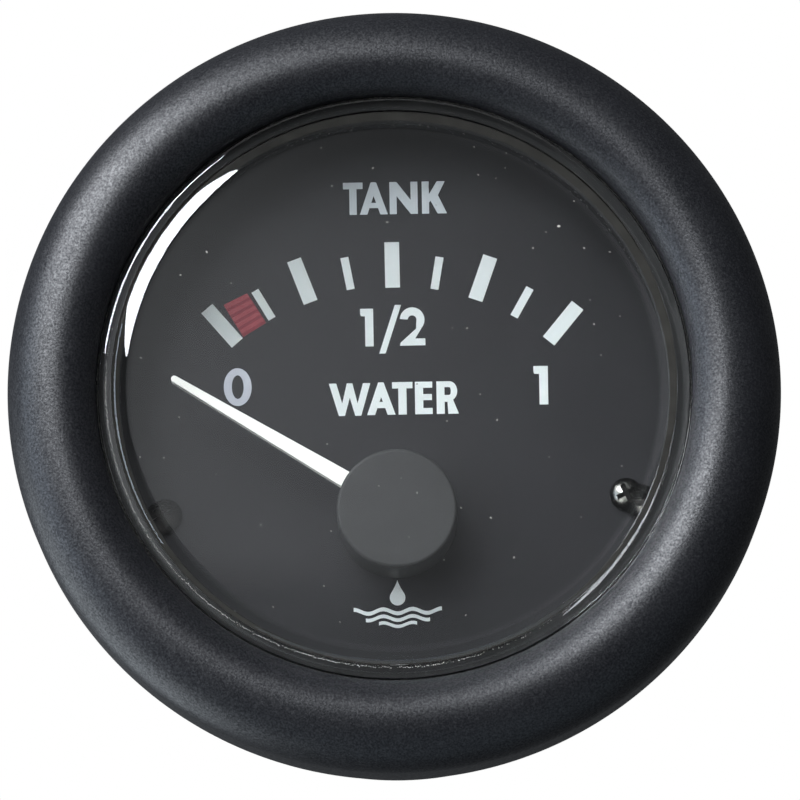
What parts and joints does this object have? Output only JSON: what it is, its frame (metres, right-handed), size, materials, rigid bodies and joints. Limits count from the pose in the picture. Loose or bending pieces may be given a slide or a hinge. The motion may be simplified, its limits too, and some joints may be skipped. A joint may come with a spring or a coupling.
{
  "type": "water tank gauge",
  "caption": "Round panel gauge for a water tank: dark dial with a level scale, white pointer, raised clear lens, round bezel and rear terminals.",
  "frame": {"origin": "on the barrel's axis, in the plane of the panel's front face that the gasket seats on", "axes": "-Y out of the dial towards the viewer, +Y along the barrel behind the panel, +Z towards the top of the dial, +X to the right of the dial"},
  "size_m": [0.06, 0.063, 0.06],
  "materials": {
    "bezel_plastic": "fine textured satin black",
    "case_plastic": "smooth satin black",
    "rubber": "matt black",
    "lens_clear": "clear, polished",
    "shroud_plastic": "dark satin",
    "dial_paint": "matt dark grey enamel",
    "screw_steel": "bright zinc",
    "pointer_white": "white",
    "cap_plastic": "satin dark grey",
    "brass": "turned",
    "shaft_steel": "ground",
    "magnet": "ground ferrite",
    "bobbin_plastic": "natural nylon",
    "copper_wire": "enamelled copper",
    "shield_steel": "drawn steel",
    "bridge_plastic": "black moulded",
    "board": "green lacquer",
    "resistor": "beige lacquer",
    "zinc": "zinc plated",
    "lamp_plastic": "natural white",
    "lamp_glass": "clear glass"
  },
  "bodies": {
    "housing": {"bezel": "bezel_plastic", "lens_seal": "rubber", "lens": "lens_clear", "inner_shroud": "shroud_plastic", "dial": "dial_paint", "dial_screws": "screw_steel", "front_bearing": "brass", "upper_bobbin": "bobbin_plastic", "lower_bobbin": "bobbin_plastic", "cross_coil_inner": "copper_wire", "cross_coil_outer": "copper_wire", "return_magnet": "magnet", "magnetic_shield": "shield_steel", "movement_bridge": "bridge_plastic", "movement_screws": "screw_steel", "circuit_board": "board", "board_screws": "screw_steel", "calibration_resistors": "resistor", "case": "case_plastic", "panel_gasket": "rubber", "terminal_supply": "brass", "terminal_sender": "brass", "terminal_ground": "brass", "terminal_washers": "zinc", "terminal_lock_washers": "zinc", "terminal_nuts": "brass", "lamp_holder": "lamp_plastic", "lamp_contacts": "brass", "lamp_bulb": "lamp_glass", "mounting_studs": "zinc"},
    "pointer_assembly": {"pointer": "pointer_white", "pointer_cap": "cap_plastic", "pointer_hub": "brass", "pointer_shaft": "shaft_steel", "rotor_magnet": "magnet"}
  },
  "joints": [
    {"name": "pointer_spin", "type": "hinge", "parent": "housing", "child": "pointer_assembly", "pos_m": [0, 0, -0.0093], "axis": [0, 1, 0], "range_deg": [0, 116], "stiffness_Nm_per_rad": 0.000002}
  ]
}
